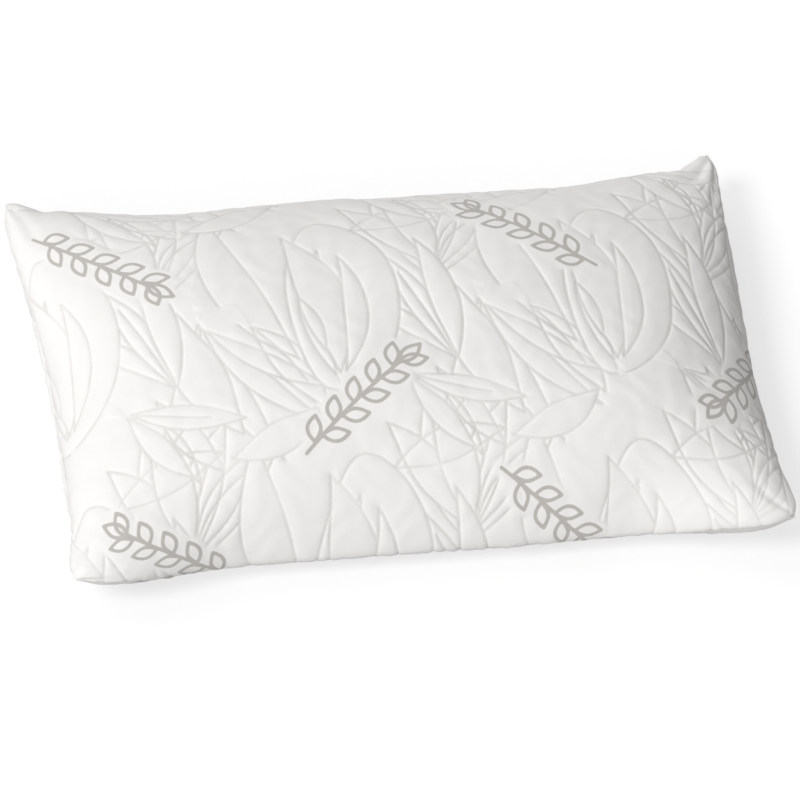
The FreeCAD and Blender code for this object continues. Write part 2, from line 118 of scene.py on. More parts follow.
def cover_surface(u, v, lower):
    """The smooth cover at shares u along and v across, each from -1 to 1."""
    side_x, side_y = np.where(u > 0, 1, -1), np.where(v > 0, 1, -1)
    along, across = straightness(u, LONG_STRAIGHT), straightness(v, SHORT_STRAIGHT)
    corner = (1 - along) * (1 - across)
    swell = swell_of(u, v)
    seam = seam_level(v) + (by_corner(EAR_LEVEL, u, v) - seam_level(v)) * corner
    bulge = HUMP_TO_ONE * swell * (1 - swell) ** 2 * (LOWER_BULGE if lower else 1.0)
    roll = (1 - np.exp(-swell / ROLL_START)) * (1 - swell) ** 2 * (1 - ROLL_FADE * corner)
    tuck = SEAM_TUCK * np.exp(-swell / TUCK_REACH) * (1 - corner)
    out_x = END_BULGE * bulge - tuck
    out_back = BACK_BULGE * bulge - tuck * (1 - zip_share(u))
    out_front = (0.0 if lower else FRONT_ROLL) * roll
    drawn_in = np.where(u > 0, END_PULL["right"], END_PULL["left"])
    x = HALF_LENGTH * u - drawn_in * across * u ** 3 + side_x * np.abs(u) ** 3 * out_x
    y = HALF_WIDTH * v - by_side(SIDE_PULL, v) * along * v ** 3
    y = y + v ** 3 * np.where(v > 0, out_back, out_front)
    gap_x, gap_y = HALF_LENGTH * (1 - np.abs(u)), HALF_WIDTH * (1 - np.abs(v))
    ear = ease(1 - gap_x / EAR_REACH[0] - gap_y / EAR_REACH[1])
    tip = TIP_ROUNDING * ease(1 - (gap_x + gap_y) / TIP_REACH)
    ear_x = by_corner({place: beyond[0] for place, beyond in EARS.items()}, u, v)
    ear_y = by_corner({place: beyond[1] for place, beyond in EARS.items()}, u, v)
    x = x + side_x * (ear * ear_x - tip) + LEAN * u * v
    y = y + side_y * (ear * ear_y - tip)
    z = seam * (1 - swell) ** UNDERSIDE if lower else seam + (CROWN - seam) * swell
    return np.stack([x, y, z], -1)


# ---------------------------------------------------------------- the zip's opening
SLOT_END, SLOT_BLEND = 236.5, 6.0  # where the opening starts to close, and the length it closes over
SLOT_HALF_HEIGHT = 5.5
LIP_REACH = 11.0  # how far from the opening the cover is lifted or lowered
HEM_IN, HEM_TURN = 2.6, 0.9  # the raw edge is turned in


def zip_share(u):
    """1 along the zip's opening in the back seam, 0 beyond its ends."""
    return ease((SLOT_END - HALF_LENGTH * np.abs(u)) / SLOT_BLEND)


# ---------------------------------------------------------------- a panel's grid
FINE_STEPS = 4001


def evenly_spaced(curve, spacing):
    """Shares from -1 to 1 that are evenly spaced along curve(share), and their distances from the middle."""
    fine = np.sin(np.linspace(-math.pi / 2, math.pi / 2, FINE_STEPS))
    steps = np.linalg.norm(np.diff(curve(fine), axis=0), axis=1)
    distance = np.concatenate([[0.0], np.cumsum(steps)])
    count = int(round(distance[-1] / spacing)) + 1
    places = np.linspace(0, distance[-1], count)
    return np.interp(places, distance, fine), places - distance[-1] / 2


def panel_grid(lower, spacing):
    """Shares u, v and cloth places s, t of a panel's grid, each as a 2-D array."""
    u, s = evenly_spaced(lambda share: cover_surface(share, share * 0, lower), spacing)
    v, t = evenly_spaced(lambda share: cover_surface(share * 0, share, lower), spacing)
    shares, cloth = np.meshgrid(u, v, indexing="ij"), np.meshgrid(s, t, indexing="ij")
    return shares[0], shares[1], cloth[0], cloth[1]


def outward(points, lower):
    """The unit normal out of the pillow at each point of a panel's grid."""
    along, across = np.gradient(points, axis=0), np.gradient(points, axis=1)
    normal = np.cross(along, across)
    normal = normal / np.maximum(np.linalg.norm(normal, axis=-1, keepdims=True), 1e-9)
    return -normal if lower else normal


def waves(place, lengths, strength):
    """A gentle irregular ripple along place, between about -strength and strength."""
    total = np.zeros_like(place)
    for length in lengths:
        total = total + np.sin(2 * math.pi * place / length + random.uniform(0, 2 * math.pi))
    return strength * total / len(lengths)


# ---------------------------------------------------------------- the quilting
REPEAT = (275.0, 287.0)
REPEATS = range(-2, 3)
LEAF_LIFT = 0.5  # how much higher or lower than the others a leaf may stand
EDGE_SLACK = 1.3  # a leaf's edge takes this many times the points of its length
RIB_START = 0.06  # share of the length
LEAF_MARGIN = 4  # round a leaf's box
FAR = 30.0  # distances to the nearest line are measured up to this
POINTED, ROUNDED = 1.0, 0.55

# heading and bend are in degrees, tip is how pointed the ends are, and rib is the share of the length
# that has a middle line
Leaf = namedtuple("Leaf", "base_s base_t heading length width bend tip rib")
QUILT_LEAVES = [
    # each is stitched over those before it
    # long blades and sprays that fill the ground behind the larger shapes
    (-250, 60, 108, 150, 34, -14, POINTED, 0),
    (-246, 58, 84, 150, 38, -26, POINTED, 0.7),
    (-242, 56, 60, 132, 30, -20, POINTED, 0),
    (28, 74, 116, 128, 34, 16, POINTED, 0),
    (32, 72, 92, 138, 36, 22, POINTED, 0),
    (38, 70, 66, 112, 28, -18, POINTED, 0),
    (-262, -52, -66, 104, 26, 20, POINTED, 0),
    (-40, -152, 24, 116, 32, -16, POINTED, 0),
    # long blades that fan out to the lower left
    (-206, 27, -102, 158, 26, -22, POINTED, 0),
    (-205, 24, -84, 172, 30, 28, POINTED, 0),
    (-203, 20, -66, 158, 24, 32, POINTED, 0),
    (-200, 18, -50, 136, 20, 26, POINTED, 0),
    (-172, 176, -100, 220, 46, 50, POINTED, 0),
    # broad leaves below the loop
    (-224, 44, -92, 158, 50, 36, POINTED, 0),
    (-158, 14, -50, 118, 34, -18, POINTED, 0.7),
    (-196, -128, 10, 104, 32, 32, POINTED, 0),
    # sprays to the right of the loop
    (32, -40, 124, 128, 22, 24, POINTED, 0),
    (34, -42, 104, 142, 26, 12, POINTED, 0.8),
    (36, -42, 84, 158, 28, 24, POINTED, 0),
    (-18, -60, -42, 108, 24, -20, POINTED, 0),
    (-16, -62, -62, 96, 22, 18, POINTED, 0),
    (-14, -58, -24, 116, 26, 18, POINTED, 0.7),
    # the loop, with a fan inside it
    (-92, -66, 64, 222, 112, 42, ROUNDED, 0),
    (-84, -52, 106, 164, 30, -38, POINTED, 0),
    (-80, -50, 84, 186, 48, 28, POINTED, 0),
    (-74, -48, 62, 150, 24, 44, POINTED, 0),
    (-90, -24, 98, 72, 14, 12, POINTED, 0),
]


def leaf_radius(leaf):
    return leaf.length / math.radians(leaf.bend)


def inside_leaf(s, t, leaf):
    turn, radius = math.radians(leaf.heading), leaf_radius(leaf)
    ahead = (s - leaf.base_s) * math.cos(turn) + (t - leaf.base_t) * math.sin(turn)
    aside = -(s - leaf.base_s) * math.sin(turn) + (t - leaf.base_t) * math.cos(turn)
    side = math.copysign(1.0, radius)
    along = abs(radius) * np.arctan2(side * ahead, side * (radius - aside))
    offset = radius - side * np.hypot(ahead, aside - radius)
    bow = np.sin(math.pi * np.clip(along / leaf.length, 0, 1))
    return np.abs(offset) < leaf.width / 2 * bow ** leaf.tip


def leaf_lines(leaf, spacing):
    """Points along a leaf's edge and rib."""
    turn, radius = math.radians(leaf.heading), leaf_radius(leaf)
    edge = (1 - np.cos(np.linspace(0, math.pi, int(EDGE_SLACK * leaf.length / spacing)))) / 2
    half = leaf.width / 2 * np.sin(math.pi * edge) ** leaf.tip
    lines = [(edge, half), (edge, -half)]
    if leaf.rib:
        rib = np.linspace(RIB_START, leaf.rib, int(leaf.rib * leaf.length / spacing))
        lines.append((rib, rib * 0))
    places = []
    for share, offset in lines:
        angle = share * leaf.length / radius
        ahead, aside = (radius - offset) * np.sin(angle), radius - (radius - offset) * np.cos(angle)
        places.append(turned(np.stack([ahead, aside], -1), turn) + (leaf.base_s, leaf.base_t))
    return np.concatenate(places)


def turned(places, turn):
    """Cloth places turned about the origin."""
    along, across = places[:, 0], places[:, 1]
    return np.stack([along * math.cos(turn) - across * math.sin(turn),
                     along * math.sin(turn) + across * math.cos(turn)], -1)


def nearest(lines, s, t):
    """Each cloth place's distance to the nearest of the points in lines, up to FAR."""
    near_s = np.abs(lines[:, 0]) < np.abs(s).max() + FAR
    near_t = np.abs(lines[:, 1]) < np.abs(t).max() + FAR
    lines = lines[near_s & near_t]
    tree = kdtree.KDTree(len(lines))
    for index, (x, y) in enumerate(lines):
        tree.insert((x, y, 0.0), index)
    tree.balance()
    places = np.stack([s.ravel(), t.ravel()], -1)
    found = [tree.find((x, y, 0.0))[2] for x, y in places]
    return np.minimum(np.array(found).reshape(s.shape), FAR)


def leaf_reach(leaf):
    """The middle of a leaf and how far its box goes from there."""
    halfway = math.radians(leaf.heading + leaf.bend / 2)
    middle_s = leaf.base_s + leaf.length / 2 * math.cos(halfway)
    middle_t = leaf.base_t + leaf.length / 2 * math.sin(halfway)
    return middle_s, middle_t, leaf.length / 2 + leaf.width / 2 + LEAF_MARGIN


def quilting(s, t, spacing):
    """Distance to the nearest quilted groove, and how far each leaf stands proud."""
    edge_s, edge_t = np.abs(s).max(), np.abs(t).max()
    raised, lines = np.zeros_like(s), np.zeros((0, 2))
    for row in QUILT_LEAVES:
        leaf = Leaf(*row)
        lift = random.uniform(-LEAF_LIFT, LEAF_LIFT)
        for over, up in ((over, up) for over in REPEATS for up in REPEATS):
            moved = leaf._replace(base_s=leaf.base_s + over * REPEAT[0], base_t=leaf.base_t + up * REPEAT[1])
            middle_s, middle_t, reach = leaf_reach(moved)
            if abs(middle_s) > edge_s + reach or abs(middle_t) > edge_t + reach:
                continue
            rows = np.searchsorted(s[:, 0], (middle_s - reach, middle_s + reach))
            columns = np.searchsorted(t[0], (middle_t - reach, middle_t + reach))
            window = np.s_[rows[0]:rows[1], columns[0]:columns[1]]
            raised[window][inside_leaf(s[window], t[window], moved)] = lift
            hidden = (np.abs(lines[:, 0] - middle_s) < reach) & (np.abs(lines[:, 1] - middle_t) < reach)
            hidden[hidden] = inside_leaf(lines[hidden, 0], lines[hidden, 1], moved)
            lines = np.concatenate([lines[~hidden], leaf_lines(moved, spacing)])
    return nearest(lines, s, t), raised


# ---------------------------------------------------------------- the woven sprigs
SPRIG_STROKE = 3.6
SPRIG_LENGTH = 166.0
SPRIG_PAIRS = 5
STEM_TO_END, FIRST_LEAF, LAST_LEAF = 30, 14, 38  # from the ends of the sprig
LEAF_SPLAY, LEAF_STEP = 51, 10  # each right leaf is a step along from its left one
END_LEAF_BASE = 32
# cloth place of each sprig's middle and the way it points
SPRIGS = [(-62, -78, 40), (-284, 122, -44), (132, 122, 138), (336, -50, -135), (-262, -208, 145),
          (122, -218, -45), (104, 262, 40)]


def sprig_leaves():
    """A generic sprig along +s: a stem, leaves by turns on each side and one at its end."""
    half = SPRIG_LENGTH / 2
    leaves = [Leaf(-half, 0, 4, SPRIG_LENGTH - STEM_TO_END, 0, -8, POINTED, 0.98)]
    step = (SPRIG_LENGTH - FIRST_LEAF - LAST_LEAF) / (SPRIG_PAIRS - 1)
    for index in range(SPRIG_PAIRS):
        base = -half + FIRST_LEAF + index * step
        leaves.append(Leaf(base, 2, LEAF_SPLAY + 1, 27, 13, -20, POINTED, 0))
        leaves.append(Leaf(base + LEAF_STEP, 2, -LEAF_SPLAY + 1, 27, 13, 20, POINTED, 0))
    leaves.append(Leaf(half - END_LEAF_BASE, 1, -4, 32, 13, 6, POINTED, 0))
    return leaves


def sprig_lines(spacing):
    outline = np.concatenate([leaf_lines(leaf, spacing) for leaf in sprig_leaves()])
    return np.concatenate([turned(outline, math.radians(heading)) + (s, t) for s, t, heading in SPRIGS])


# ---------------------------------------------------------------- creases and puckers
# each ear's creases: the angle from EAR_HEADING, start, length, width and depth
CREASES = {
    (-1, -1): [(-20, 24, 70, 12, 1.2), (16, 26, 80, 13, 1.4)],
    (1, -1): [(12, 44, 110, 10, 1.2), (40, 40, 120, 10, 1.8)],
    (-1, 1): [(14, 30, 90, 14, 1.2)],
    (1, 1): [(-24, 34, 90, 12, 1.6), (-2, 30, 120, 14, 2.0), (22, 34, 110, 12, 1.6)],
}
EAR_HEADING = 40  # degrees from the long seam to the middle of an ear
CREASE_SWAY, CREASE_WAVE = 5, 34
CREASE_FLARE = (0.55, 0.6)  # its width at the start, and how much wider it ends, as shares
CREASE_RIDGE = 0.9  # how high the cloth stands on both sides of the fold
CREASE_START, CREASE_FADE = 0.25, 0.6  # shares of its length over which it deepens and fades
# each ear's pinch: how far from the tip the cover drops, and by how much
PINCHES = {(-1, -1): (26, 1.5), (1, -1): (36, 5.5), (-1, 1): (30, 1.5), (1, 1): (30, 3.0)}
PINCH_BLEND = 14
CALM_REACH = {(-1, -1): 80, (1, -1): 150, (-1, 1): 62, (1, 1): 75}  # where the cloth is pulled smooth


def crease_depth(s, t):
    """Folds that run from each ear towards the middle, and the drop where the ear begins."""
    depth = np.zeros_like(s)
    for (side_x, side_y), creases in CREASES.items():
        from_x, from_y = s.max() - side_x * s, t.max() - side_y * t
        reach, drop = PINCHES[side_x, side_y]
        depth = depth + drop * ease((reach + PINCH_BLEND / 2 - np.hypot(from_x, from_y)) / PINCH_BLEND)
        for angle, start, length, width, deep in creases:
            turn = math.radians(EAR_HEADING + angle)
            ahead = from_x * math.cos(turn) + from_y * math.sin(turn) - start
            aside = -from_x * math.sin(turn) + from_y * math.cos(turn)
            aside = aside + CREASE_SWAY * np.sin(ahead / CREASE_WAVE + angle)
            share = ahead / length
            wide = width * (CREASE_FLARE[0] + CREASE_FLARE[1] * np.clip(share, 0, 1))
            square = (aside / wide) ** 2
            fold = (1 - CREASE_RIDGE * square) * np.exp(-square)
            depth = depth + deep * fold * ease(share / CREASE_START) * ease((1 - share) / CREASE_FADE)
    return depth


# ---------------------------------------------------------------- mesh helpers
def new_object(name, data, material):
    """An object of a mesh or a curve that goes with the pillow."""
    obj = bpy.data.objects.new(name, data)
    bpy.context.scene.collection.objects.link(obj)
    data.materials.append(material)
    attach(obj, "pillow")
    return obj


def grid_mesh(name, points, flip=False, wrap=False):
    """A smooth mesh from a 2-D array of points in millimetres."""
    rows, columns = points.shape[:2]
    index = np.arange(rows * columns).reshape(rows, columns)
    if wrap:
        index = np.concatenate([index, index[:1]])
    faces = np.stack([index[:-1, :-1], index[1:, :-1], index[1:, 1:], index[:-1, 1:]], -1).reshape(-1, 4)
    if flip:
        faces = faces[:, ::-1]
    mesh = bpy.data.meshes.new(name)
    mesh.vertices.add(rows * columns)
    mesh.vertices.foreach_set("co", (points.reshape(-1, 3) * MM).ravel())
    mesh.loops.add(faces.size)
    mesh.loops.foreach_set("vertex_index", faces.ravel().astype(np.int32))
    mesh.polygons.add(len(faces))
    mesh.polygons.foreach_set("loop_start", np.arange(0, faces.size, 4, dtype=np.int32))
    mesh.update(calc_edges=True)
    mesh.validate()
    mesh.shade_smooth()
    return mesh


def add_layer(mesh, name, values):
    """One number at each point of a mesh, for its material to read."""
    layer = mesh.attributes.new(name, "FLOAT", "POINT")
    layer.data.foreach_set("value", values.ravel().astype(np.float32))


def add_cloth_uv(mesh, s, t):
    """A UV map that follows the cloth. One unit is the panel's whole length."""
    layer = mesh.uv_layers.new(name="cloth")
    length = s.max() - s.min()
    places = np.stack([(s.ravel() - s.min()) / length, (t.ravel() - t.min()) / length], -1)
    corners = np.zeros(len(mesh.loops), np.int32)
    mesh.loops.foreach_get("vertex_index", corners)
    layer.data.foreach_set("uv", places[corners].ravel().astype(np.float32))


def tube_curve(name, runs, radius, material):
    """Round thread or wire along each run of points, in millimetres."""
    curve = bpy.data.curves.new(name, "CURVE")
    curve.dimensions = "3D"
    curve.bevel_depth = radius * MM
    curve.bevel_resolution = 1
    for run in runs:
        spline = curve.splines.new("POLY")
        spline.points.add(len(run) - 1)
        for point, place in zip(spline.points, run):
            point.co = (*(np.asarray(place) * MM), 1.0)
    return new_object(name, curve, material)


# ---------------------------------------------------------------- materials
def shader(name, colour, roughness, **values):
    """A new node material and its main shader, with constant values set on the shader itself."""
    material = bpy.data.materials.new(name)
    material.use_nodes = True
    main = material.node_tree.nodes["Principled BSDF"]
    main.inputs["Base Color"].default_value = (*colour, 1)
    main.inputs["Roughness"].default_value = roughness
    for key, value in values.items():
        main.inputs[key.replace("_", " ")].default_value = value
    return material, main


def link(material, source, target):
    material.node_tree.links.new(source, target)


def add_node(material, kind, **values):
    """A new node, with values for its own settings or for the inputs of those names."""
    node = material.node_tree.nodes.new(kind)
    for key, value in values.items():
        if hasattr(node, key):
            setattr(node, key, value)
        else:
            node.inputs[key.replace("_", " ")].default_value = value
    return node


def maths(material, operation, *values):
    """The result of an operation on sockets or numbers."""
    node = add_node(material, "ShaderNodeMath", operation=operation)
    for socket, value in zip(node.inputs, values):
        if isinstance(value, (int, float)):
            socket.default_value = value
        else:
            link(material, value, socket)
    return node.outputs[0]


def mixed(material, factor, first, second):
    """One colour changing into another by factor, a socket or a number."""
    node = add_node(material, "ShaderNodeMix", data_type="RGBA")
    sockets = node.inputs[0], node.inputs[6], node.inputs[7]  # the factor and the two colours
    for socket, value in zip(sockets, (factor, first, second)):
        if isinstance(value, (int, float)):
            socket.default_value = value
        elif isinstance(value, tuple):
            socket.default_value = (*value, 1)
        else:
            link(material, value, socket)
    return node.outputs[2]


COURSES_PER_WALE = 1.3


def knit_height(material, across_mm, stitch):
    """Rows of knitted loops, from the cloth UV map."""
    uv = add_node(material, "ShaderNodeUVMap", uv_map="cloth")
    split = add_node(material, "ShaderNodeSeparateXYZ")
    link(material, uv.outputs[0], split.inputs[0])
    turns = 2 * math.pi * across_mm / stitch
    wale = maths(material, "SINE", maths(material, "MULTIPLY", split.outputs[0], turns))
    course = maths(material, "SINE", maths(material, "MULTIPLY", split.outputs[1], turns * COURSES_PER_WALE))
    return maths(material, "MULTIPLY", wale, course), uv


def add_bump(material, main, height, strength, depth_mm):
    """Fine relief on a shader, from a height socket."""
    bump = add_node(material, "ShaderNodeBump", Strength=strength, Distance=depth_mm * MM)
    link(material, height, bump.inputs["Height"])
    link(material, bump.outputs[0], main.inputs["Normal"])


def object_noise(material, scale, detail):
    """Noise that is fixed to the object."""
    place = add_node(material, "ShaderNodeTexCoord")
    noise = add_node(material, "ShaderNodeTexNoise", Scale=scale, Detail=detail)
    link(material, place.outputs["Object"], noise.inputs["Vector"])
    return noise.outputs[0]


def darkened(colour, share):
    return tuple(share * part for part in colour)


KNIT_COLOUR, KNIT_SHADE = (0.90, 0.885, 0.868), (0.82, 0.80, 0.77)
# painted shade: the darker colour the knit is given along the quilted grooves
GROOVE_PAINTED_SHADE = (0.60, 0.58, 0.55)
SPRIG_COLOUR, SPRIG_FLECK = (0.45, 0.43, 0.405), (0.60, 0.58, 0.555)
STITCH_MM, FUZZ_MM, CLOUDS = 1.5, 0.9, 9.0
CLOUD_SHARE, GROOVE_SHADE_SHARE = 0.12, 0.55  # how much the clouds change the colour, and how much painted shade darkens it along the grooves


def cover_material(length_mm):
    material, main = shader("cover_knit", KNIT_COLOUR, 0.85, Sheen_Weight=0.25, Sheen_Roughness=0.5)
    main.inputs["Specular IOR Level"].default_value = 0.25
    loops, uv = knit_height(material, length_mm, STITCH_MM)
    fuzz = add_node(material, "ShaderNodeTexNoise", Scale=length_mm / FUZZ_MM, Detail=3.0)
    link(material, uv.outputs[0], fuzz.inputs["Vector"])
    cloud = add_node(material, "ShaderNodeTexNoise", Scale=CLOUDS, Detail=3.0)
    link(material, uv.outputs[0], cloud.inputs["Vector"])

    # the stitched lines: their distance and how hard each stretch is drawn in, which set how much painted
    # shade darkens the knit along the grooves
    groove = add_node(material, "ShaderNodeAttribute", attribute_name="groove")
    drawn = add_node(material, "ShaderNodeAttribute", attribute_name="drawn")
    line = add_node(material, "ShaderNodeMapRange", interpolation_type="SMOOTHSTEP",
                    From_Min=0.35, From_Max=1.9, To_Min=1.0, To_Max=0.0)
    link(material, groove.outputs["Fac"], line.inputs["Value"])
    groove_shade_mask = maths(material, "MULTIPLY", line.outputs[0], drawn.outputs["Fac"])
    clouded = maths(material, "MULTIPLY", cloud.outputs[0], CLOUD_SHARE)
    ground = mixed(material, clouded, KNIT_COLOUR, KNIT_SHADE)
    # painted shade along the grooves, stronger where the stitching draws the cloth in harder
    groove_shade = maths(material, "MULTIPLY", groove_shade_mask, GROOVE_SHADE_SHARE)
    shaded = mixed(material, groove_shade, ground, GROOVE_PAINTED_SHADE)

    # the sprig's edge is a little uneven, as a loop of grey yarn is either in it or out of it
    sprig = add_node(material, "ShaderNodeAttribute", attribute_name="sprig")
    uneven = maths(material, "MULTIPLY", maths(material, "SUBTRACT", fuzz.outputs[0], 0.5), 0.9)
    ragged = maths(material, "ADD", sprig.outputs["Fac"], uneven)
    inked = add_node(material, "ShaderNodeMapRange", From_Min=0.45, From_Max=-0.35)
    link(material, ragged, inked.inputs["Value"])
    speckle = mixed(material, fuzz.outputs[0], SPRIG_COLOUR, SPRIG_FLECK)
    link(material, mixed(material, inked.outputs[0], shaded, speckle), main.inputs["Base Color"])

    height = maths(material, "ADD", maths(material, "MULTIPLY", loops, 0.5), fuzz.outputs[0])
    add_bump(material, main, height, 0.35, 0.25)
    return material


def plain_knit(name, colour, scale):
    material, main = shader(name, colour, 0.9, Sheen_Weight=0.2)
    noise = object_noise(material, scale, 4.0)
    link(material, mixed(material, noise, colour, darkened(colour, 0.86)), main.inputs["Base Color"])
    add_bump(material, main, noise, 0.4, 0.4)
    return material


def woven_tape(name, colour, rib_mm):
    """A woven ribbon: fine ribs across its length and a broken colour."""
    material, main = shader(name, colour, 0.75, Sheen_Weight=0.15)
    place = add_node(material, "ShaderNodeTexCoord")
    split = add_node(material, "ShaderNodeSeparateXYZ")
    link(material, place.outputs["Object"], split.inputs[0])
    turns = 2 * math.pi / (rib_mm * MM)
    warp = maths(material, "SINE", maths(material, "MULTIPLY", split.outputs[0], turns))
    weft = maths(material, "SINE", maths(material, "MULTIPLY", split.outputs[2], turns))
    weave = maths(material, "MULTIPLY", warp, weft)
    share = maths(material, "MULTIPLY_ADD", weave, 0.5, 0.5)
    link(material, mixed(material, share, colour, darkened(colour, 0.87)), main.inputs["Base Color"])
    add_bump(material, main, weave, 0.4, 0.15)
    return material


def polished(name, colour, roughness, wear):
    """Enamelled or moulded parts, with faint unevenness in their colour and gloss."""
    material, main = shader(name, colour, roughness)
    noise = object_noise(material, 900.0, 3.0)
    link(material, mixed(material, noise, colour, darkened(colour, wear)), main.inputs["Base Color"])
    gloss = add_node(material, "ShaderNodeMapRange", To_Min=roughness * 0.8, To_Max=roughness * 1.25)
    link(material, noise, gloss.inputs["Value"])
    link(material, gloss.outputs[0], main.inputs["Roughness"])
    add_bump(material, main, noise, 0.15, 0.05)
    return material


# ---------------------------------------------------------------- the cover
TOP_CELL, BOTTOM_CELL = 1.5, 2.3
LINE_SPACING, SPRIG_SPACING = 0.7, 0.35
WANDER = 1.6  # how far the stitched lines stray
DRAWN, DRAWN_VARIES = 0.72, 0.28  # how hard the stitching draws the cloth in, and how much that varies
PUFF, PUFF_REACH = 1.15, 7.0  # the cloth swells between the lines
LIFT_REACH = 2.5
GROOVE_DEEP, GROOVE_WIDE = 0.75, 1.3
SPRIG_CLEAR, SPRIG_BLEND, SPRIG_PUFF = 1.5, 9, 0.75  # the quilting stops short of the woven sprigs
WRINKLE, BROAD = 0.3, 1.3  # small wrinkles between the lines, and broad unevenness
PUCKER, PUCKER_REACH = 0.22, 2.6  # beside the lines
GATHER, GATHER_AT, GATHER_WIDE = 0.8, 9, 8  # the seam gathers the cover a little on both sides of it
GATHER_MIDDLE, GATHER_ENDS, GATHER_SIDES = 0.35, 0.5, 0.3  # more so towards the ears
SEAM_FADE, SEAM_RELIEF = 9.0, 0.15  # the relief fades to this share at the seam
CREASE_EDGE, GATHER_EDGE = 14, 5
CALM_START, CALM_LEFT = 12, 0.12
BED, GROOVE_OFF_BED, BED_REACH = 0.3, 0.35, 2.0  # how high the underside lies, and a groove above that


def patches(s, t, lengths, strays, sways):
    """Uneven patches from -1 to 1: two crossed waves that sway with two longer ones."""
    return (np.sin(s / lengths[0] + sways[0] * np.sin(t / strays[0]))
            * np.sin(t / lengths[1] + sways[1] * np.sin(s / strays[1])))


def cover_panel(name, node, lower, spacing):
    u, v, s, t = panel_grid(lower, spacing)
    points = cover_surface(u, v, lower)
    normal = outward(points, lower)
    gap_s, gap_t = s.max() - np.abs(s), t.max() - np.abs(t)
    edge = np.minimum(gap_s, gap_t)
    inner = ease(edge / SEAM_FADE)
    calm = ease((np.hypot(gap_s, gap_t) - CALM_START) / by_corner(CALM_REACH, u, v))
    calm = CALM_LEFT + (1 - CALM_LEFT) * calm

    strayed_s = s + WANDER * np.sin(t / 31 + 0.6) * np.cos(s / 43)
    strayed_t = t + WANDER * np.sin(s / 37 + 1.1) * np.cos(t / 29)
    near, raised = quilting(strayed_s, strayed_t, LINE_SPACING)
    to_sprig = nearest(sprig_lines(SPRIG_SPACING), s, t) - SPRIG_STROKE / 2
    quiet = ease((to_sprig - SPRIG_CLEAR) / SPRIG_BLEND)

    drawn = DRAWN + DRAWN_VARIES * patches(s, t, (23, 19), (37, 41), (2, 2))
    groove = np.exp(-(near / GROOVE_WIDE) ** 2) * quiet * drawn
    puff = PUFF * (1 - np.exp(-near / PUFF_REACH)) + raised * (1 - np.exp(-near / LIFT_REACH))
    puff = puff * quiet + PUFF * SPRIG_PUFF * (1 - quiet)
    relief = (puff - GROOVE_DEEP * groove) * (SEAM_RELIEF + (1 - SEAM_RELIEF) * inner)
    wrinkles = WRINKLE * patches(s, t, (9, 8), (13, 11), (2, 2))
    puckers = PUCKER * np.exp(-near / PUCKER_REACH) * quiet * patches(s, t, (0.95, 0.9), (7, 6), (1, 1))
    broad = BROAD * patches(s, t, (47, 41), (60, 70), (0.7, 0.8))
    creases = crease_depth(s, t) * ease(edge / CREASE_EDGE)
    moved = (relief + (wrinkles + puckers) * inner) * calm + (broad * calm - creases) * inner

    round_the_rim = np.where(gap_s < gap_t, t, s)
    near_ends, near_sides = ease((np.abs(u) - 0.6) / 0.3), ease((np.abs(v) - 0.4) / 0.4)
    strength = GATHER_MIDDLE + GATHER_ENDS * near_ends + GATHER_SIDES * near_sides
    gather = waves(round_the_rim, (13, 19, 31), GATHER) * strength * calm
    gather = gather * np.exp(-((edge - GATHER_AT) / GATHER_WIDE) ** 2) * ease(edge / GATHER_EDGE)
    points = points + normal * (moved + gather)[..., None]

    if lower:
        lowest = BED + GROOVE_OFF_BED * np.exp(-near / BED_REACH)
        points[..., 2] = np.maximum(points[..., 2], lowest)
    points = open_for_zip(points, u, v, lower)

    mesh = grid_mesh(name, points, flip=lower)
    add_cloth_uv(mesh, s, t)
    add_layer(mesh, "groove", near)
    # how strongly painted shade darkens each groove, read by the cover's material
    add_layer(mesh, "drawn", drawn * quiet * inner * calm)
    add_layer(mesh, "sprig", to_sprig)
    length, width = 2 * s.max(), 2 * t.max()
    obj = new_object(name, mesh, cover_material(length))
    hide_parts(node)
    return points


def open_for_zip(points, u, v, lower):
    """Lift or lower the back edge off the seam line along the zip, and turn its raw edge in."""
    share = zip_share(u[:, :1])
    way = -1 if lower else 1
    from_edge = np.cumsum(np.linalg.norm(np.diff(points[:, ::-1], axis=1), axis=-1), axis=1)[:, ::-1]
    from_edge = np.concatenate([from_edge, np.zeros((len(points), 1))], axis=1)
    lip = np.exp(-(from_edge / LIP_REACH) ** 2) * (v > 0)
    points[..., 2] += way * SLOT_HALF_HEIGHT * share * lip
    points[:, -1:, 1] -= HEM_IN * share
    points[:, -1:, 2] += way * HEM_TURN * share
    return points


# ---------------------------------------------------------------- the zip
COIL_PITCH, COIL_WIRE = 1.6, 0.34
COIL_OVERLAP = 0.45  # the rows' loops pass between each other
TAPE_GAP = 0.15  # the middle of the zip to a tape's edge, behind the loops
TAPE_THICK, TAPE_CORD = 0.28, 0.25  # half the tape's thickness, and what the cord in its edge adds to it
CORD_SHARE = 0.14  # share of the tape's width that the cord takes
TAPE_WANDER = 0.15
THREAD_RADIUS = 0.3
STITCH_PITCH, STITCH_WANDER = 4.0, 0.15
STITCH = ((0.3, 0.2), (0.8, -0.22), (1.7, -0.32), (2.6, -0.22), (3.1, 0.2))  # along the zip, into the cover
UPPER_STITCH_RISE = 0.9  # keeps the upper row on the lifted lip


def zip_coil(name, node, material, phase):
    low, high = node_box(node)
    if "lower" in name:
        high[2] = ZIP_LEVEL + COIL_OVERLAP
    else:
        low[2] = ZIP_LEVEL - COIL_OVERLAP
    turns = int((high[0] - low[0]) / COIL_PITCH)
    angle = np.linspace(0, 2 * math.pi * turns, turns * 10 + 1) + phase
    middle, half = (low + high) / 2, (high - low) / 2 - COIL_WIRE
    x = np.linspace(low[0] + COIL_WIRE, high[0] - COIL_WIRE, len(angle))
    run = np.stack([x, middle[1] + half[1] * np.cos(angle), middle[2] + half[2] * np.sin(angle)], -1)
    row = tube_curve(name, [run], COIL_WIRE, material)
    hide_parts(node)


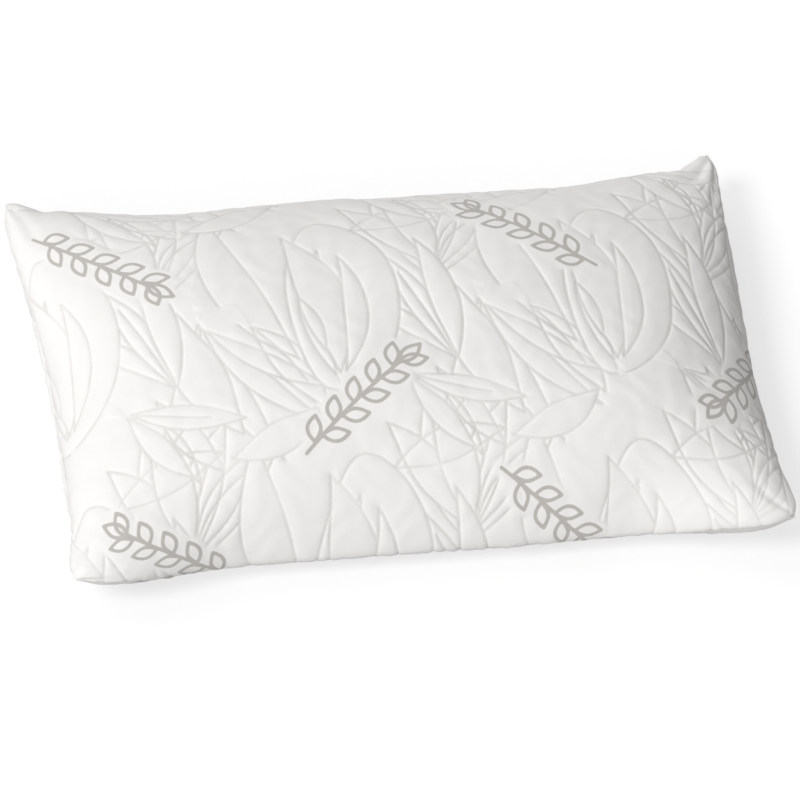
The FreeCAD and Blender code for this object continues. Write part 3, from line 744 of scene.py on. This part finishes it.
def zip_tape(name, node, material):
    """A woven tape whose cord edge thickens beside the coil."""
    low, high = node_box(node)
    inner = ZIP_LEVEL - TAPE_GAP if "lower" in name else ZIP_LEVEL + TAPE_GAP
    outer = low[2] if "lower" in name else high[2]
    x = np.linspace(low[0], high[0], 241)
    share = np.linspace(0, 1, 9)
    middle = (low[1] + high[1]) / 2 + waves(x, (61, 97), TAPE_WANDER)
    thick = TAPE_THICK + TAPE_CORD * np.exp(-(share / CORD_SHARE) ** 2)
    sheets = []
    for side in (1, -1):
        y = middle[:, None] + side * thick[None, :]
        z = inner + (outer - inner) * share[None, :] + 0 * y
        sheets.append(np.stack([x[:, None] + 0 * y, y, z], -1))
    front, back = sheets
    points = np.concatenate([front, back[:, ::-1], front[:, :1]], axis=1)
    mesh = grid_mesh(name, points, flip="lower" in name)
    obj = new_object(name, mesh, material)
    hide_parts(node)


def stitch_row(name, node, cover, material):
    """Short thread stitches that lie on the cover along the zip."""
    low, high = node_box(node)
    level = (low[2] + high[2]) / 2
    level += UPPER_STITCH_RISE if level > ZIP_LEVEL else 0.0
    back = cover[:, cover.shape[1] * 3 // 4:]
    runs = []
    for index in range(int((high[0] - low[0]) / STITCH_PITCH)):
        run = []
        for step, sink in STITCH:
            x = low[0] + index * STITCH_PITCH + step
            column = back[np.argmin(np.abs(back[:, -1, 0] - x))]
            place = column[np.argmin(np.abs(column[:-2, 2] - level))]
            run.append((x, place[1] - sink, level + STITCH_WANDER * math.sin(index * 2.4)))
        runs.append(run)
    row = tube_curve(name, runs, THREAD_RADIUS, material)
    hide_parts(node)


# ---------------------------------------------------------------- what lies inside
LINER_CELL = 8.0
# the liner is the cover's shape up to these shares, made a little smaller and less full
LINER_SHARES, LINER_SCALE = (0.975, 0.955), (0.97, 0.955, 1.0)
UPPER_LINER_SWELL, LOWER_LINER_SWELL = 0.93, 0.8
CORE_CLEARANCE = 8.0
# the smaller, the squarer: the core's sides, then its outline along and across, and its crown
CORE_BLOCK, CORE_ROUND = 0.38, (0.45, 0.6, 0.8)
OVERLOCK_SHARES = (0.965, 0.95)  # inside the cover's edge
OVERLOCK_ZIGZAG = 0.8
OVERLOCK_CLEAR = 24  # how far beyond the zip's opening it starts, well clear of the pull tab


def liner_panel(name, node, lower, material):
    """The plain inner case, a few millimetres inside the cover."""
    u, v = panel_grid(lower, LINER_CELL)[:2]
    points = cover_surface(u * LINER_SHARES[0], v * LINER_SHARES[1], lower) * LINER_SCALE
    middle = seam_level(v)
    points[..., 2] = middle + (points[..., 2] - middle) * (LOWER_LINER_SWELL if lower else UPPER_LINER_SWELL)
    mesh = grid_mesh(name, points, flip=lower)
    obj = new_object(name, mesh, material)
    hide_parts(node)


def under_cover(points, clearance):
    """Hold points below the crowned cover and above its underside."""
    u = np.clip(points[..., 0] / (HALF_LENGTH - END_PULL["left"]), -1, 1)
    v = np.clip(points[..., 1] / (HALF_WIDTH - SIDE_PULL["back"]), -1, 1)
    highest = cover_surface(u, v, False)[..., 2] - clearance
    lowest = cover_surface(u, v, True)[..., 2] + clearance
    level = np.minimum(np.maximum(points[..., 2], lowest), np.maximum(highest, lowest))
    return np.stack([points[..., 0], points[..., 1], level], -1)


def squared(wave, power):
    """A sine or cosine that stays longer near 1 and -1, the more so the smaller the power."""
    return np.sign(wave) * np.abs(wave) ** power


def foam_core(material):
    """A crowned block with round corners."""
    low, high = node_box("foam_core")
    middle, half = (low + high) / 2, (high - low) / 2
    around = np.linspace(0, 2 * math.pi, 120, endpoint=False)
    level = np.linspace(-math.pi / 2, math.pi / 2, 41)
    reach = np.abs(np.cos(level)) ** CORE_BLOCK
    x = squared(np.cos(around), CORE_ROUND[0])
    y = squared(np.sin(around), CORE_ROUND[1])
    z = squared(np.sin(level), CORE_ROUND[2])
    points = np.stack([middle[0] + half[0] * x[:, None] * reach, middle[1] + half[1] * y[:, None] * reach,
                       middle[2] + half[2] * z[None, :] + 0 * x[:, None]], -1)
    mesh = grid_mesh("core", under_cover(points, CORE_CLEARANCE), wrap=True)
    obj = new_object("core", mesh, material)
    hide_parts("foam_core")


def overlock(material):
    """The thread that binds the cover's raw edges inside the seam."""
    zip_end = (SLOT_END + OVERLOCK_CLEAR) / HALF_LENGTH
    stretches = [((-1, -1), (1, -1), 360), ((1, -1), (1, 1), 230), ((-1, 1), (-1, -1), 230),
                 ((1, 1), (zip_end, 1), 56), ((-zip_end, 1), (-1, 1), 56)]
    runs = []
    for start, end, count in stretches:
        share = np.linspace(0.0, 1.0, count)
        u = (start[0] + (end[0] - start[0]) * share) * OVERLOCK_SHARES[0]
        v = (start[1] + (end[1] - start[1]) * share) * OVERLOCK_SHARES[1]
        rim = (cover_surface(u, v, False) + cover_surface(u, v, True)) / 2
        rim[:, 2] += np.where(np.arange(count) % 2, OVERLOCK_ZIGZAG, -OVERLOCK_ZIGZAG)
        runs.append(rim)
    loops = tube_curve("overlock", runs, THREAD_RADIUS, material)
    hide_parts("cover_seam_overlock")


# ---------------------------------------------------------------- the care label
LABEL_SIDE = 3  # how far beyond the label the cover behind it is looked at
LABEL_OFF, LABEL_HANG, LABEL_CURL = 0.5, 1.6, 0.5  # off the cover, further off at its lower end, and curled
LABEL_TUCK, TUCK_SHARE = 3.5, 0.06  # its top end goes into the seam
LABEL_THICK = 0.4


def care_label(cover, material):
    """A blank satin label that hangs from the right seam."""
    low, high = node_box("care_label")
    level = np.linspace(high[2], low[2], 18)
    side = cover[cover.shape[0] * 3 // 4:]
    out = np.full(len(level), low[0])
    behind = (side[-1, :, 1] > low[1] - LABEL_SIDE) & (side[-1, :, 1] < high[1] + LABEL_SIDE)
    for across in np.flatnonzero(behind):
        order = np.argsort(side[:, across, 2])
        out = np.maximum(out, np.interp(level, side[order, across, 2], side[order, across, 0]))
    drop = np.linspace(0, 1, len(level))
    out = np.maximum.accumulate(out) + LABEL_OFF + LABEL_HANG * drop ** 2
    out = out - LABEL_TUCK * np.exp(-(drop / TUCK_SHARE) ** 2)
    y = np.linspace(low[1], high[1], 14)
    curl = LABEL_CURL * np.sin(np.linspace(0, math.pi, len(y)))
    points = np.stack([out[:, None] + curl[None, :] * drop[:, None],
                       y[None, :] + 0 * level[:, None], level[:, None] + 0 * y[None, :]], -1)
    mesh = grid_mesh("label", points)
    obj = new_object("label", mesh, material)
    thick = obj.modifiers.new("thick", "SOLIDIFY")
    thick.thickness = LABEL_THICK * MM
    thick.offset = 0.0
    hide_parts("care_label")


# ---------------------------------------------------------------- camera, lights and floor
AZIMUTH, ELEVATION, ROLL = (math.radians(degrees) for degrees in (-17.2, 51.0, 9.4))
DISTANCE, ASIDE, ABOVE = 6.76, 0.0036, 0.0393  # metres from the middle of the pillow
SENSOR, LENS = 36.0, 312.7
SUNS = [
    # name, the way towards it, spread in degrees, strength
    ("key", (-0.66, -0.22, 0.70), 24.0, 1.50),
    ("from the back", (-0.50, 0.65, 0.55), 60.0, 0.85),
    ("from the front", (-0.30, -0.92, 0.25), 60.0, 1.25),
]
SKY_COLOUR, SKY_STRENGTH = (1.0, 0.995, 0.99, 1), 0.31
FLOOR_HALF, FLOOR_GREY, FLOOR_GLOW = 6000.0, 0.5, 0.58


def add_camera():
    away = Vector((math.sin(AZIMUTH) * math.cos(ELEVATION), -math.cos(AZIMUTH) * math.cos(ELEVATION),
                   math.sin(ELEVATION)))
    level = Vector((math.cos(AZIMUTH), math.sin(AZIMUTH), 0))
    upright = away.cross(level)
    right = level * math.cos(ROLL) + upright * math.sin(ROLL)
    top = upright * math.cos(ROLL) - level * math.sin(ROLL)
    place = Vector((0, 0, CROWN / 2 * MM)) - right * ASIDE - top * ABOVE + away * DISTANCE
    data = bpy.data.cameras.new("camera")
    data.sensor_width, data.lens = SENSOR, LENS
    camera = bpy.data.objects.new("camera", data)
    rows = [(right[i], top[i], away[i], place[i]) for i in range(3)]
    camera.matrix_world = Matrix(rows + [(0, 0, 0, 1)])
    bpy.context.scene.collection.objects.link(camera)
    bpy.context.scene.camera = camera


def add_lights():
    """Broad soft daylight from three sides, and a pale sky."""
    for name, towards, spread, strength in SUNS:
        data = bpy.data.lights.new(name, "SUN")
        data.angle, data.energy = math.radians(spread), strength
        lamp = bpy.data.objects.new(name, data)
        lamp.rotation_euler = Vector(towards).to_track_quat("Z", "Y").to_euler()
        bpy.context.scene.collection.objects.link(lamp)
    world = bpy.data.worlds.new("studio")
    world.use_nodes = True
    world.node_tree.nodes["Background"].inputs["Color"].default_value = SKY_COLOUR
    world.node_tree.nodes["Background"].inputs["Strength"].default_value = SKY_STRENGTH
    bpy.context.scene.world = world


def add_floor():
    """A pale floor that glows a little and sends no light onto the pillow."""
    material, main = shader("pale_floor", (FLOOR_GREY,) * 3, 0.8)
    main.inputs["Specular IOR Level"].default_value = 0.1
    main.inputs["Emission Color"].default_value = (1, 1, 1, 1)
    main.inputs["Emission Strength"].default_value = FLOOR_GLOW
    ends = (-FLOOR_HALF, FLOOR_HALF)
    mesh = grid_mesh("floor", np.array([[(x, y, 0) for y in ends] for x in ends]))
    mesh.materials.append(material)
    plane = bpy.data.objects.new("floor", mesh)
    bpy.context.scene.collection.objects.link(plane)
    plane.visible_diffuse = False


# ---------------------------------------------------------------- everything together
thread = plain_knit("seam_thread", (0.88, 0.87, 0.84), 2600.0)
tape = woven_tape("zip_tape", (0.87, 0.86, 0.83), 0.9)
coil = polished("zip_coil", (0.86, 0.85, 0.82), 0.4, 0.94)
metal = polished("zip_metal", (0.80, 0.79, 0.76), 0.24, 0.93)
satin = woven_tape("label_satin", (0.93, 0.93, 0.92), 0.8)

add_camera()
add_lights()
add_floor()

top = cover_panel("cover_top", "cover_top_panel", False, TOP_CELL)
bottom = cover_panel("cover_bottom", "cover_bottom_panel", True, BOTTOM_CELL)
zip_tape("tape_upper", "zip_tape_upper", tape)
zip_tape("tape_lower", "zip_tape_lower", tape)
zip_coil("coil_upper", "zip_coil_upper", coil, 0.0)
zip_coil("coil_lower", "zip_coil_lower", coil, math.pi)
stitch_row("stitching_upper", "zip_stitching_upper", top, thread)
stitch_row("stitching_lower", "zip_stitching_lower", bottom, thread)
care_label(bottom, satin)
overlock(thread)
liner = plain_knit("liner_knit", (0.9, 0.9, 0.88), 900.0)
liner_panel("liner_top", "liner_top_panel", False, liner)
liner_panel("liner_bottom", "liner_bottom_panel", True, liner)
foam_core(plain_knit("foam", (0.93, 0.90, 0.80), 700.0))

for kept in ("zip_slider_body", "zip_pull_tab", "zip_top_stops", "zip_bottom_stop"):
    for material_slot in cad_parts[kept].material_slots:
        material_slot.material = metal

bpy.context.scene.view_settings.view_transform = "Standard"
